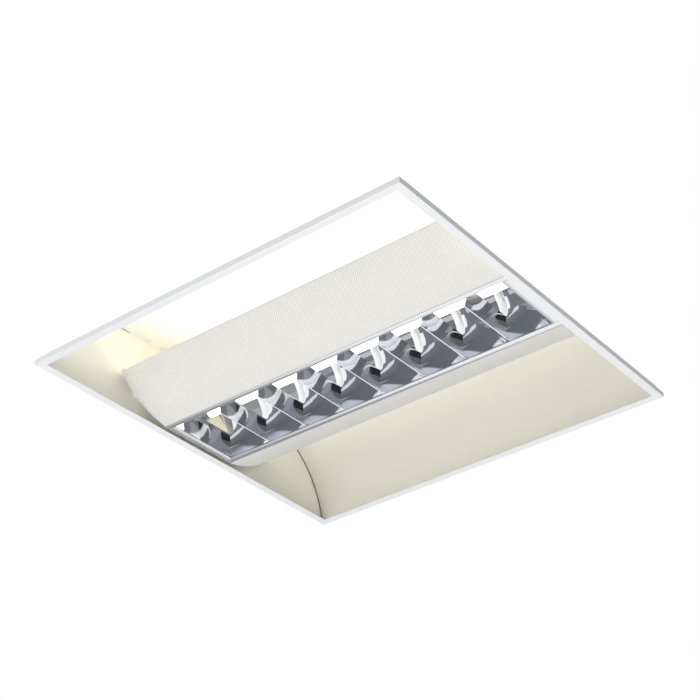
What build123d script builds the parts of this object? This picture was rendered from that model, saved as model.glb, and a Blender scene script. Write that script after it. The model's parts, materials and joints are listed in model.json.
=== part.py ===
from build123d import *
from math import asin, atan2, cos, degrees, radians, sqrt
import os

# A square ceiling light that lies in a 600 mm grid, lamp side down. The origin is the centre of the
# trim's underside, +Z points up into the ceiling and +X runs along the lamps.

# Trim frame
module_size = 595.0
flange_width = 11.5
trim_sheet = 1.2
trim_edge_height = 7.0
key_leg = 30.0
key_sheet = 1.5

# Sheet shell: curved side reflectors, flat top, flat ends
body_sheet = 1.0
cavity_height = 129.0
reflector_radius = 150.0
reflector_inset = 1.5
reflector_lap = 20.0
end_recess = 7.0
end_tab_reach = 12.0
end_tab_half = 105.0

# Clearances
seat_gap = 0.1
running_gap = 0.05
moving_gap = 0.5
wing_gap = 0.3

# Rivets
rivet_radius = 1.6
rivet_head_radius = 3.0
rivet_head_height = 1.0
lap_rivet_end_room = 33.0
lap_rivets = 5
tab_rivet_pitch = 80.0
tab_rivets = 3

# Suspension lugs
lug_span_length = 400.0
lug_span_width = 200.0
lug_width = 22.0
lug_foot = 20.0
lug_tongue = 18.0
lug_sheet = 1.5
lug_rise = 12.0
lug_hole_radius = 3.25

# Basket and its perforated wings
basket_end_gap = 9.0
basket_floor = 5.0
basket_end_sheet = 1.0
basket_end_drop = 5.0
basket_end_ear = 30.0
basket_end_slope = 8.0
wing_sheet = 0.8
wing_lip = 8.0
wing_radius = 160.0
wing_tip_reach = 18.0
wing_tip_height = 52.0
diffuser_sheet = 1.0
diffuser_margin = 2.0

# Mirror louvre
louvre_half_width = 67.5
louvre_rim = 10.0
louvre_end_rim = 9.7
louvre_lip = 7.0
mirror_sheet = 0.6
louvre_side_radius = 80.0
louvre_throat_half = 47.0
blade_count = 7
blade_lift = 4.5
blade_height = 28.0
blade_edge = 1.2
blade_crest = 13.0
blade_radius = 82.0
blade_fold = 1.6

# Hinge and latch
pivot_half = 140.0
pivot_height = 46.0
pivot_radius = 3.0
pin_head_radius = 5.0
pin_head_height = 1.5
bush_wall = 1.6
bush_flange_radius = 7.0
bush_flange = 1.6
bush_nose = 1.5
pin_nose = 0.5
stud_length = 8.0
clip_sheet = 0.6
clip_width = 5.0
clip_mouth = 4.6
clip_post_half = 2.5
bracket_half = 6.0
bracket_sheet = 1.0
bracket_height = 57.0
bracket_leg = 9.0

# Lamps, 16 mm tubes with two-pin caps
tube_radius = 8.0
tube_wall = 0.8
lamp_end_room = 18.5
cap_length = 11.0
cap_wall = 0.4
cap_floor = 4.0
pin_radius = 1.185
pin_spacing = 4.75
pin_length = 7.1
centre_lamp_height = 52.0
outer_lamp_half = 104.0
outer_lamp_height = 66.0

# Lamp holders
holder_gap = 0.3
holder_half = 11.0
holder_rise = 20.0
rotor_radius = 7.4
rotor_setback = 0.3
rotor_depth = 7.6
holder_screw_radius = 1.4
holder_screw_height = 15.0
holder_screw_depth = 8.0
holder_screw_head = 2.8
holder_screw_head_height = 2.0

# Mirror hood over the centre lamp
hood_overlap = 0.8
hood_foot_step = 1.8
hood_lamp_gap = 3.25
hood_end_gap = 4.5
spacer_length = 14.0
spacer_half = 8.0
spacer_span = 180.0
spacer_count = 3

# Gear cover
gear_end_room = 38.0
gear_half_width = 52.0
gear_height = 44.0
gear_sheet = 0.8
gear_flange = 12.0
gear_notch_half = 22.0
gear_notch_height = 28.0
gear_screw_radius = 1.45
gear_screw_head = 3.2
gear_screw_head_height = 2.4
gear_screw_tip = 3.0
gear_screw_pitch = 220.0
gear_screws = 3

# Ballast
ballast_left_room = 163.0
ballast_right_room = 63.0
ballast_half_width = 15.0
ballast_height = 21.0
ballast_sheet = 0.8
ballast_lug = 10.0
ballast_screw_radius = 2.0
ballast_terminal = 14.0
board_sheet = 1.6
board_gap = 4.0
board_part_height = 9.0
board_parts = 5

# Mains terminals, cable entry and earth screw
terminal_end_room = 98.0
terminal_y = 32.0
terminal_length = 40.0
terminal_half_width = 10.0
terminal_height = 17.0
terminal_poles = 3
terminal_pole_pitch = 6.0
terminal_screw_radius = 2.0
terminal_screw_height = 1.2
entry_end_room = 61.0
entry_radius = 10.25
grommet_bore = 5.0
grommet_lip = 3.0
grommet_lip_height = 2.0
earth_end_room = 143.0
earth_y = -34.0
earth_radius = 2.0
earth_nut_radius = 4.0
earth_length = 12.0
earth_head_height = 3.2

# Leads
lead_radius = 1.0
lead_bend = 8.0
lead_end_bend = 5.0
lead_spread = 2.5
lead_step = 1.75
centre_lead_drop = 8.0
centre_lead_inset = 5.0
outer_lead_y = 10.0
outer_lead_drop = 17.0
outer_lead_inset = 5.5
outer_lead_rise = 7.0
supply_bend = 5.0
supply_step = 7.5
supply_rise = 4.5
supply_entry_y = 6.0
supply_entry_pitch = 3.0

# Planes and half sizes worked out from the driving sizes
half_module = module_size / 2
opening_half = half_module - flange_width
end_inner = opening_half + end_recess
top_z = cavity_height + body_sheet
lid_z = top_z + body_sheet
foot_reach = half_module - trim_sheet - 2 * seat_gap

reflector_centre_z = cavity_height - reflector_radius
reflector_foot = opening_half + reflector_inset
reflector_centre_y = reflector_foot - sqrt(reflector_radius**2 - reflector_centre_z**2)
foot_angle = degrees(asin((trim_sheet - reflector_centre_z) / reflector_radius))
foot_y = reflector_centre_y + reflector_radius * cos(radians(foot_angle))
lap_rivet_y = reflector_centre_y - reflector_lap / 2
lap_rivet_pitch = 2 * (end_inner - lap_rivet_end_room) / (lap_rivets - 1)
tab_rivet_x = end_inner - end_tab_reach / 2

basket_half = end_inner - basket_end_gap
basket_inner = basket_half - basket_end_sheet
wing_start_half = louvre_half_width + wing_gap
louvre_mouth_half = louvre_half_width - louvre_rim
louvre_mouth_length = basket_inner - louvre_end_rim
blade_bottom = basket_floor + blade_lift
blade_top = blade_bottom + blade_height
blade_pitch = 2 * louvre_mouth_length / (blade_count + 1)

wing_tip_half = pivot_half + wing_tip_reach
basket_end_crest = centre_lamp_height - holder_half - basket_end_drop
lamp_half = end_inner - lamp_end_room
holder_face = lamp_half + holder_gap
lamp_places = {
    "front": (-outer_lamp_half, outer_lamp_height),
    "centre": (0, centre_lamp_height),
    "back": (outer_lamp_half, outer_lamp_height),
}
gear_floor = top_z - gear_height
gear_half_length = end_inner - gear_end_room
ballast_start = ballast_left_room - end_inner
ballast_end = end_inner - ballast_right_room
ballast_length = ballast_end - ballast_start
terminal_x = terminal_end_room - end_inner
entry_x = entry_end_room - end_inner
earth_x = earth_end_room - end_inner
ballast_floor = top_z - ballast_height


def arc_centre(start, end, radius):
    """Centre of the arc that turns left on its way from start to end."""
    across, up = end[0] - start[0], end[1] - start[1]
    chord = sqrt(across**2 + up**2)
    away = sqrt(radius**2 - chord**2 / 4)
    middle = ((start[0] + end[0]) / 2, (start[1] + end[1]) / 2)
    return (middle[0] - away * up / chord, middle[1] + away * across / chord)


def angle_from(centre, point):
    """Direction of a point seen from a centre, in degrees."""
    return degrees(atan2(point[1] - centre[1], point[0] - centre[0]))


def arc_band(centre, radius, sheet, start_angle, sweep):
    """Section of a sheet bent to an arc, its thickness measured outwards from the radius."""
    with BuildLine() as section:
        inner = CenterArc(centre, radius, start_angle, sweep)
        outer = CenterArc(centre, radius + sheet, start_angle, sweep)
        Line(inner @ 0, outer @ 0)
        Line(inner @ 1, outer @ 1)
    make_face(section.edges())


def finish(piece, label):
    """Label a finished piece and write its file."""
    piece.part.label = label
    export_step(piece.part, f"parts/{label}.step")


def finish_pair(piece, about, first, second):
    """Write a piece and its mirror image."""
    finish(piece, first)
    with BuildPart() as twin:
        mirror(piece.part, about=about)
    finish(twin, second)


os.makedirs("parts", exist_ok=True)

# Trim rails: flange and outer upstand, mitred at the corners
with BuildPart() as trim_rail:
    with BuildSketch(Plane.YZ.offset(-half_module)):
        with Locations((half_module, 0)):
            Rectangle(flange_width, trim_sheet, align=(Align.MAX, Align.MIN))
            Rectangle(trim_sheet, trim_edge_height, align=(Align.MAX, Align.MIN))
    extrude(amount=module_size)
    with BuildSketch():
        with BuildLine():
            Polyline(
                (-half_module, half_module),
                (half_module, half_module),
                (opening_half, opening_half),
                (-opening_half, opening_half),
                close=True,
            )
        make_face()
    extrude(amount=trim_edge_height, mode=Mode.INTERSECT)
for turn, side in enumerate(("back", "left", "front", "right")):
    with BuildPart() as turned_rail:
        add(trim_rail.part, rotation=(0, 0, 90 * turn))
    finish(turned_rail, f"trim_rail_{side}")

# Corner keys: small angles that stand on the feet of the shell, inside the upstands
key_out = half_module - trim_sheet - seat_gap
key_floor = trim_sheet + body_sheet
with BuildPart() as corner_key:
    with BuildSketch(Plane.XY.offset(key_floor)):
        with Locations((key_out, key_out)):
            Rectangle(key_leg, key_sheet, align=(Align.MAX, Align.MAX))
            Rectangle(key_sheet, key_leg, align=(Align.MAX, Align.MAX))
    extrude(amount=trim_edge_height - key_floor)
with BuildPart() as corner_keys:
    for turn in range(4):
        add(corner_key.part, rotation=(0, 0, 90 * turn))
finish(corner_keys, "corner_keys")

# Side reflectors: arc, foot on the trim flange, flat lap under the top plate
with BuildPart() as side_reflector:
    with BuildSketch(Plane.YZ.offset(-end_inner)):
        arc_band(
            (reflector_centre_y, reflector_centre_z),
            reflector_radius,
            body_sheet,
            foot_angle,
            90 - foot_angle,
        )
        with Locations((reflector_centre_y, cavity_height)):
            Rectangle(reflector_lap, body_sheet, align=(Align.MAX, Align.MIN))
        with Locations((foot_y, trim_sheet)):
            Rectangle(foot_reach - foot_y, body_sheet, align=(Align.MIN, Align.MIN))
    extrude(amount=2 * end_inner)
    with Locations((0, lap_rivet_y, top_z)):
        with GridLocations(lap_rivet_pitch, 0, lap_rivets, 1):
            Hole(rivet_radius + running_gap, depth=2 * body_sheet)
finish_pair(side_reflector, Plane.XZ, "side_reflector_back", "side_reflector_front")

# End plates: flat, with a foot on the trim flange and a tab under the top plate
with BuildPart() as end_plate:
    with BuildSketch(Plane.YZ.offset(end_inner)):
        with BuildLine():
            Line((-reflector_centre_y, top_z), (reflector_centre_y, top_z))
            back_edge = CenterArc(
                (reflector_centre_y, reflector_centre_z),
                reflector_radius + body_sheet,
                foot_angle,
                90 - foot_angle,
            )
            front_edge = CenterArc(
                (-reflector_centre_y, reflector_centre_z),
                reflector_radius + body_sheet,
                90,
                90 - foot_angle,
            )
            Line(back_edge @ 0, front_edge @ 1)
        make_face()
        with Locations((pivot_half, pivot_height)):
            Circle(pivot_radius + running_gap + bush_wall + running_gap, mode=Mode.SUBTRACT)
        for lamp_y, lamp_z in lamp_places.values():
            with Locations((lamp_y, lamp_z + holder_screw_height)):
                Circle(holder_screw_radius + running_gap, mode=Mode.SUBTRACT)
    extrude(amount=body_sheet)
    with Locations((end_inner, 0, trim_sheet)):
        Box(
            foot_reach - end_inner,
            2 * opening_half,
            body_sheet,
            align=(Align.MIN, Align.CENTER, Align.MIN),
        )
    with Locations((end_inner, 0, top_z)):
        Box(
            end_tab_reach,
            2 * end_tab_half,
            body_sheet,
            align=(Align.MAX, Align.CENTER, Align.MAX),
        )
    with Locations((tab_rivet_x, 0, top_z)):
        with GridLocations(0, tab_rivet_pitch, 1, tab_rivets):
            Hole(rivet_radius + running_gap, depth=2 * body_sheet)
finish_pair(end_plate, Plane.YZ, "end_plate_right", "end_plate_left")

# Top plate
lid_half = end_inner + body_sheet
gear_screw_y = gear_half_width + gear_flange / 2
ballast_screw_xs = (ballast_start - ballast_lug / 2, ballast_end + ballast_lug / 2)
lug_rivet_x = lug_tongue / 2 + lug_foot / 2
with BuildPart() as top_plate:
    with BuildSketch(Plane.XY.offset(top_z)):
        Rectangle(2 * lid_half, 2 * reflector_centre_y)
        with GridLocations(lap_rivet_pitch, 2 * lap_rivet_y, lap_rivets, 2):
            Circle(rivet_radius + running_gap, mode=Mode.SUBTRACT)
        with GridLocations(2 * tab_rivet_x, tab_rivet_pitch, 2, tab_rivets):
            Circle(rivet_radius + running_gap, mode=Mode.SUBTRACT)
        with GridLocations(gear_screw_pitch, 2 * gear_screw_y, gear_screws, 2):
            Circle(gear_screw_radius + running_gap, mode=Mode.SUBTRACT)
        with GridLocations(lug_span_length, lug_span_width, 2, 2):
            with Locations((lug_rivet_x, 0)):
                Circle(rivet_radius + running_gap, mode=Mode.SUBTRACT)
        with Locations((entry_x, terminal_y)):
            Circle(entry_radius, mode=Mode.SUBTRACT)
        for screw_x in ballast_screw_xs:
            with Locations((screw_x, 0)):
                Circle(ballast_screw_radius + running_gap, mode=Mode.SUBTRACT)
        with Locations((earth_x, earth_y)):
            Circle(earth_radius + running_gap, mode=Mode.SUBTRACT)
    extrude(amount=body_sheet)
finish(top_plate, "top_plate")


def rivet_at(place, seat_z, grip):
    """Blind rivet: domed head on a seat and a shank down through the sheets it grips."""
    with Locations((place[0], place[1], seat_z)):
        Cylinder(rivet_radius, grip, align=(Align.CENTER, Align.CENTER, Align.MAX))
        Cylinder(
            rivet_head_radius,
            rivet_head_height,
            align=(Align.CENTER, Align.CENTER, Align.MIN),
        )


# Rivets of the shell
with BuildPart() as body_rivets:
    for place in GridLocations(lap_rivet_pitch, 2 * lap_rivet_y, lap_rivets, 2):
        rivet_at(tuple(place.position), lid_z, 2 * body_sheet)
    for place in GridLocations(2 * tab_rivet_x, tab_rivet_pitch, 2, tab_rivets):
        rivet_at(tuple(place.position), lid_z, 2 * body_sheet)
    fillet(
        body_rivets.edges().filter_by(GeomType.CIRCLE).group_by(Axis.Z)[-1],
        rivet_head_height / 2,
    )
finish(body_rivets, "body_rivets")

# Suspension lugs: foot on the top plate, riser, tongue with a hole for a rod
with BuildPart() as suspension_lug:
    with BuildSketch(Plane.XZ.offset(-lug_width / 2)):
        with Locations((lug_tongue / 2, 0)):
            Rectangle(lug_foot, lug_sheet, align=(Align.MIN, Align.MIN))
            Rectangle(lug_sheet, lug_rise, align=(Align.MIN, Align.MIN))
        with Locations((lug_tongue / 2 + lug_sheet, lug_rise)):
            Rectangle(lug_tongue + lug_sheet, lug_sheet, align=(Align.MAX, Align.MAX))
    extrude(amount=lug_width)
    with Locations((0, 0, lug_rise)):
        Hole(lug_hole_radius, depth=2 * lug_sheet)
    with Locations((lug_rivet_x, 0, lug_sheet)):
        Hole(rivet_radius + running_gap, depth=2 * lug_sheet)
    fillet(
        suspension_lug.edges().filter_by(Axis.Z).group_by(Axis.X)[0],
        lug_tongue / 4,
    )
with BuildPart() as suspension_lugs:
    with Locations((0, 0, lid_z)):
        with GridLocations(lug_span_length, lug_span_width, 2, 2):
            add(suspension_lug.part)
finish(suspension_lugs, "suspension_lugs")

with BuildPart() as lug_rivets:
    for place in GridLocations(lug_span_length, lug_span_width, 2, 2):
        spot = tuple(place.position)
        rivet_at((spot[0] + lug_rivet_x, spot[1]), lid_z + lug_sheet, lug_sheet + body_sheet)
    fillet(
        lug_rivets.edges().filter_by(GeomType.CIRCLE).group_by(Axis.Z)[-1],
        rivet_head_height / 2,
    )
finish(lug_rivets, "lug_rivets")

# Cable grommet: two lips that grip the top plate round its cable entry
with BuildPart() as cable_grommet:
    with BuildSketch(Plane.XY.offset(top_z - grommet_lip_height)):
        with Locations((entry_x, terminal_y)):
            Circle(entry_radius + grommet_lip)
            Circle(grommet_bore, mode=Mode.SUBTRACT)
    extrude(amount=body_sheet + 2 * grommet_lip_height)
    with BuildSketch(Plane.XY.offset(top_z)):
        with Locations((entry_x, terminal_y)):
            Circle(entry_radius + grommet_lip)
            Circle(entry_radius - running_gap, mode=Mode.SUBTRACT)
    extrude(amount=body_sheet, mode=Mode.SUBTRACT)
finish(cable_grommet, "cable_grommet")

# Gear cover: a tray that hangs under the top plate by its two flanges
with BuildPart() as gear_cover:
    with Locations((0, 0, gear_floor)):
        Box(
            2 * gear_half_length,
            2 * gear_half_width,
            gear_height,
            align=(Align.CENTER, Align.CENTER, Align.MIN),
        )
    with Locations((0, 0, top_z)):
        Box(
            2 * gear_half_length,
            2 * (gear_half_width + gear_flange),
            gear_sheet,
            align=(Align.CENTER, Align.CENTER, Align.MAX),
        )
    with Locations((0, 0, gear_floor + gear_sheet)):
        Box(
            2 * (gear_half_length - gear_sheet),
            2 * (gear_half_width - gear_sheet),
            gear_height,
            align=(Align.CENTER, Align.CENTER, Align.MIN),
            mode=Mode.SUBTRACT,
        )
    with Locations((0, 0, top_z)):
        Box(
            3 * gear_half_length,
            2 * gear_notch_half,
            gear_notch_height,
            align=(Align.CENTER, Align.CENTER, Align.MAX),
            mode=Mode.SUBTRACT,
        )
    with Locations((0, 0, top_z)):
        with GridLocations(gear_screw_pitch, 2 * gear_screw_y, gear_screws, 2):
            Hole(gear_screw_radius + running_gap, depth=2 * gear_sheet)
finish(gear_cover, "gear_cover")

gear_seat = top_z - gear_sheet
with BuildPart() as gear_screw_set:
    with Locations((0, 0, gear_seat)):
        with GridLocations(gear_screw_pitch, 2 * gear_screw_y, gear_screws, 2):
            Cylinder(
                gear_screw_head,
                gear_screw_head_height,
                align=(Align.CENTER, Align.CENTER, Align.MAX),
            )
            Cylinder(
                gear_screw_radius,
                gear_sheet + body_sheet + gear_screw_tip,
                align=(Align.CENTER, Align.CENTER, Align.MIN),
            )
    fillet(
        gear_screw_set.edges().filter_by(GeomType.CIRCLE).group_by(Axis.Z)[0],
        gear_screw_head_height / 3,
    )
finish(gear_screw_set, "gear_cover_screws")

# Ballast: sheet case against the top plate, lugs with screws, board inside, terminals at both ends
with BuildPart() as ballast_case:
    with Locations((ballast_start, 0, top_z)):
        Box(
            ballast_length,
            2 * ballast_half_width,
            ballast_height,
            align=(Align.MIN, Align.CENTER, Align.MAX),
        )
    fillet(ballast_case.edges().filter_by(Axis.X).group_by(Axis.Z)[0], 2 * ballast_sheet)
    with Locations((ballast_start + ballast_sheet, 0, top_z)):
        Box(
            ballast_length - 2 * ballast_sheet,
            2 * (ballast_half_width - ballast_sheet),
            ballast_height - ballast_sheet,
            align=(Align.MIN, Align.CENTER, Align.MAX),
            mode=Mode.SUBTRACT,
        )
    with Locations((ballast_start - ballast_lug, 0, top_z)):
        Box(
            ballast_lug,
            2 * ballast_half_width,
            ballast_sheet,
            align=(Align.MIN, Align.CENTER, Align.MAX),
        )
    with Locations((ballast_end, 0, top_z)):
        Box(
            ballast_lug,
            2 * ballast_half_width,
            ballast_sheet,
            align=(Align.MIN, Align.CENTER, Align.MAX),
        )
    for screw_x in ballast_screw_xs:
        with Locations((screw_x, 0, top_z)):
            Hole(ballast_screw_radius + running_gap, depth=2 * ballast_sheet)
finish(ballast_case, "ballast_case")

board_top = top_z - board_gap
with BuildPart() as ballast_board:
    with Locations(((ballast_start + ballast_end) / 2, 0, board_top)):
        Box(
            ballast_length - 2 * ballast_sheet,
            2 * (ballast_half_width - ballast_sheet),
            board_sheet,
            align=(Align.CENTER, Align.CENTER, Align.MAX),
        )
        with GridLocations(ballast_length / (board_parts + 1), 0, board_parts, 1):
            with Locations((0, 0, -board_sheet)):
                Box(
                    ballast_half_width,
                    ballast_half_width,
                    board_part_height,
                    align=(Align.CENTER, Align.CENTER, Align.MAX),
                )
finish(ballast_board, "ballast_board")

with BuildPart() as ballast_screw_set:
    for screw_x in ballast_screw_xs:
        with Locations((screw_x, 0, top_z - ballast_sheet)):
            Cylinder(
                2 * ballast_screw_radius,
                ballast_screw_radius,
                align=(Align.CENTER, Align.CENTER, Align.MAX),
            )
            Cylinder(
                ballast_screw_radius,
                ballast_sheet + body_sheet + gear_screw_tip,
                align=(Align.CENTER, Align.CENTER, Align.MIN),
            )
finish(ballast_screw_set, "ballast_screws")

terminal_half = ballast_half_width - ballast_sheet
terminal_seat = ballast_screw_radius + ballast_sheet + ballast_screw_radius
with BuildPart() as ballast_terminals:
    for end_x, away in ((ballast_start, Align.MAX), (ballast_end, Align.MIN)):
        with Locations((end_x, 0, ballast_floor)):
            Box(
                ballast_terminal,
                2 * terminal_half,
                ballast_height - terminal_seat,
                align=(away, Align.CENTER, Align.MIN),
            )
finish(ballast_terminals, "ballast_terminals")

# Mains terminal block with its screws, under the top plate
terminal_floor = top_z - terminal_height
with BuildPart() as terminal_block:
    with Locations((terminal_x, terminal_y, top_z)):
        Box(
            terminal_length,
            2 * terminal_half_width,
            terminal_height,
            align=(Align.CENTER, Align.CENTER, Align.MAX),
        )
    fillet(terminal_block.edges().filter_by(Axis.Z), body_sheet)
    with Locations((terminal_x, terminal_y, terminal_floor)):
        with GridLocations(0, terminal_pole_pitch, 1, terminal_poles):
            Cylinder(
                terminal_screw_radius + running_gap,
                2 * terminal_screw_height,
                mode=Mode.SUBTRACT,
            )
finish(terminal_block, "terminal_block")

with BuildPart() as terminal_screws:
    with Locations((terminal_x, terminal_y, terminal_floor + terminal_screw_height)):
        with GridLocations(0, terminal_pole_pitch, 1, terminal_poles):
            Cylinder(
                terminal_screw_radius,
                terminal_screw_height,
                align=(Align.CENTER, Align.CENTER, Align.MAX),
            )
finish(terminal_screws, "terminal_screws")

# Earth screw: head on the top plate, nut below it
with BuildPart() as earth_screw:
    with Locations((earth_x, earth_y, lid_z)):
        Cylinder(
            earth_nut_radius,
            earth_head_height,
            align=(Align.CENTER, Align.CENTER, Align.MIN),
        )
        Cylinder(
            earth_radius,
            earth_length,
            align=(Align.CENTER, Align.CENTER, Align.MAX),
        )
    with BuildSketch(Plane.XY.offset(top_z - earth_head_height)):
        with Locations((earth_x, earth_y)):
            RegularPolygon(earth_nut_radius, 6)
    extrude(amount=earth_head_height)
finish(earth_screw, "earth_screw")

# Lamp holders on the end plates, with a round seat for the rotor and a slot for the pins to come in
rotor_start = lamp_half + rotor_setback
rotor_seat_end = rotor_start + rotor_depth
with BuildPart() as holder:
    with BuildSketch(Plane.YZ.offset(holder_face)):
        Circle(holder_half)
        Rectangle(2 * holder_half, holder_rise, align=(Align.CENTER, Align.MIN))
    extrude(amount=end_inner - holder_face)
    with BuildSketch(Plane.YZ.offset(holder_face)):
        Circle(rotor_radius + running_gap)
        Rectangle(
            2 * (pin_radius + seat_gap),
            2 * holder_half,
            align=(Align.CENTER, Align.MAX),
        )
    extrude(amount=rotor_seat_end + seat_gap - holder_face, mode=Mode.SUBTRACT)
    with BuildSketch(Plane.YZ.offset(end_inner)):
        with Locations((0, holder_screw_height)):
            Circle(holder_screw_radius + running_gap)
    extrude(amount=-holder_screw_depth - seat_gap, mode=Mode.SUBTRACT)
with BuildPart() as holders_right:
    for lamp_y, lamp_z in lamp_places.values():
        with Locations((0, lamp_y, lamp_z)):
            add(holder.part)
finish_pair(holders_right, Plane.YZ, "lamp_holders_right", "lamp_holders_left")

end_outer = end_inner + body_sheet
with BuildPart() as holder_screw_set:
    for lamp_y, lamp_z in lamp_places.values():
        with BuildSketch(Plane.YZ.offset(end_inner - holder_screw_depth)):
            with Locations((lamp_y, lamp_z + holder_screw_height)):
                Circle(holder_screw_radius)
        extrude(amount=holder_screw_depth + body_sheet)
        with BuildSketch(Plane.YZ.offset(end_outer)):
            with Locations((lamp_y, lamp_z + holder_screw_height)):
                Circle(holder_screw_head)
        extrude(amount=holder_screw_head_height)
    fillet(
        holder_screw_set.edges().filter_by(GeomType.CIRCLE).group_by(Axis.X)[-1],
        holder_screw_head_height / 3,
    )
    mirror(about=Plane.YZ)
finish(holder_screw_set, "holder_screws")

# Lamps: tube, two caps with their pins, and the two rotors that turn with them
cap_radius = tube_radius + running_gap + cap_wall
for place, (lamp_y, lamp_z) in lamp_places.items():
    lamp_plane = Plane((0, lamp_y, lamp_z), x_dir=(0, 1, 0), z_dir=(1, 0, 0))
    with BuildPart() as lamp_tube:
        with BuildSketch(lamp_plane):
            Circle(tube_radius)
            Circle(tube_radius - tube_wall, mode=Mode.SUBTRACT)
        extrude(amount=lamp_half - cap_floor, both=True)
    finish(lamp_tube, f"lamp_tube_{place}")

    with BuildPart() as lamp_caps:
        with BuildSketch(lamp_plane.offset(lamp_half - cap_length)):
            Circle(cap_radius)
        extrude(amount=cap_length)
        with BuildSketch(lamp_plane.offset(lamp_half - cap_length)):
            Circle(tube_radius + running_gap)
        extrude(amount=cap_length - cap_floor, mode=Mode.SUBTRACT)
        with BuildSketch(lamp_plane.offset(lamp_half)):
            with GridLocations(pin_spacing, 0, 2, 1):
                Circle(pin_radius)
        extrude(amount=pin_length)
        mirror(about=Plane.YZ)
    finish(lamp_caps, f"lamp_caps_{place}")

    with BuildPart() as lamp_rotors:
        with BuildSketch(lamp_plane.offset(rotor_start)):
            Circle(rotor_radius)
            Rectangle(2 * rotor_radius, 2 * (pin_radius + running_gap), mode=Mode.SUBTRACT)
        extrude(amount=rotor_depth)
        with BuildSketch(lamp_plane.offset(lamp_half + pin_length + running_gap)):
            Circle(rotor_radius)
        extrude(amount=rotor_start + rotor_depth - lamp_half - pin_length - running_gap)
        mirror(about=Plane.YZ)
    finish(lamp_rotors, f"lamp_rotors_{place}")

# Mirror hood: an arc over the centre lamp, hung from the gear cover on spacers
hood_floor = blade_top - hood_overlap
hood_foot_half = louvre_throat_half + hood_foot_step
hood_apex = centre_lamp_height + cap_radius + hood_lamp_gap
hood_height = hood_apex - hood_floor
hood_radius = (hood_height**2 + hood_foot_half**2) / (2 * hood_height)
hood_centre = (0, hood_apex - hood_radius)
hood_start_angle = angle_from(hood_centre, (hood_foot_half, hood_floor))
hood_half = lamp_half - hood_end_gap
with BuildPart() as lamp_hood:
    with BuildSketch(Plane.YZ.offset(-hood_half)):
        arc_band(hood_centre, hood_radius, mirror_sheet, hood_start_angle, 180 - 2 * hood_start_angle)
    extrude(amount=2 * hood_half)
finish(lamp_hood, "lamp_hood")

with BuildPart() as hood_spacer:
    with BuildSketch(Plane.YZ.offset(-spacer_length / 2)):
        with Locations((0, hood_floor)):
            Rectangle(
                2 * spacer_half,
                gear_floor - hood_floor,
                align=(Align.CENTER, Align.MIN),
            )
        with Locations(hood_centre):
            Circle(hood_radius + mirror_sheet, mode=Mode.SUBTRACT)
    extrude(amount=spacer_length)
with BuildPart() as hood_spacers:
    with GridLocations(spacer_span, 0, spacer_count, 1):
        add(hood_spacer.part)
finish(hood_spacers, "hood_spacers")

# Basket wings: perforated sheet, bent to an arc, with a lip along the louvre
wing_start = (wing_start_half, basket_floor)
wing_tip = (wing_tip_half, wing_tip_height)
wing_centre = arc_centre(wing_start, wing_tip, wing_radius)
wing_start_angle = angle_from(wing_centre, wing_start)
wing_sweep = angle_from(wing_centre, wing_tip) - wing_start_angle
with BuildPart() as wing:
    with BuildSketch(Plane.YZ.offset(-basket_inner)):
        arc_band(wing_centre, wing_radius - wing_sheet, wing_sheet, wing_start_angle, wing_sweep)
        with Locations(wing_start):
            Rectangle(wing_sheet, wing_lip, align=(Align.MIN, Align.MIN))
    extrude(amount=2 * basket_inner)
finish_pair(wing, Plane.XZ, "wing_back", "wing_front")

# Opal diffusers that lie in the wings
diffuser_radius = wing_radius - wing_sheet - seat_gap - diffuser_sheet
lip_angle = degrees((wing_sheet + diffuser_margin) / diffuser_radius)
with BuildPart() as diffuser:
    with BuildSketch(Plane.YZ.offset(-basket_inner + seat_gap)):
        arc_band(
            wing_centre,
            diffuser_radius,
            diffuser_sheet,
            wing_start_angle + lip_angle,
            wing_sweep - 2 * lip_angle,
        )
    extrude(amount=2 * (basket_inner - seat_gap))
finish_pair(diffuser, Plane.XZ, "diffuser_back", "diffuser_front")

# Basket ends: plates that close the wings and carry the hinge pins and latch studs
ear_inner = wing_tip_half - basket_end_ear
ear_top = pivot_height + pin_head_radius + 2 * pin_head_height
with BuildPart() as basket_end:
    with BuildSketch(Plane.YZ.offset(basket_inner)):
        with BuildLine():
            back_arc = CenterArc(wing_centre, wing_radius, wing_start_angle, wing_sweep)
            front_arc = CenterArc(
                (-wing_centre[0], wing_centre[1]),
                wing_radius,
                180 - wing_start_angle,
                -wing_sweep,
            )
            Line(back_arc @ 0, front_arc @ 0)
            Polyline(
                back_arc @ 1,
                (pivot_half + pin_head_radius, ear_top),
                (ear_inner, ear_top),
                (ear_inner - basket_end_slope, basket_end_crest),
                (basket_end_slope - ear_inner, basket_end_crest),
                (-ear_inner, ear_top),
                (-pivot_half - pin_head_radius, ear_top),
                front_arc @ 1,
            )
        make_face()
        with GridLocations(2 * pivot_half, 0, 2, 1):
            with Locations((0, pivot_height)):
                Circle(pivot_radius + running_gap, mode=Mode.SUBTRACT)
    extrude(amount=basket_end_sheet)
finish_pair(basket_end, Plane.YZ, "basket_end_right", "basket_end_left")

# Hinge pins on the back side of the basket, and their bushes in the end plates
bush_inner_face = end_inner - bush_flange
bush_outer_face = end_outer + bush_nose
with BuildPart() as hinge_pins:
    with BuildSketch(Plane.YZ.offset(basket_inner - pin_head_height)):
        with Locations((pivot_half, pivot_height)):
            Circle(pin_head_radius)
    extrude(amount=pin_head_height)
    with BuildSketch(Plane.YZ.offset(basket_inner)):
        with Locations((pivot_half, pivot_height)):
            Circle(pivot_radius)
    extrude(amount=bush_outer_face + pin_nose - basket_inner)
    mirror(about=Plane.YZ)
finish(hinge_pins, "hinge_pins")

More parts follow.
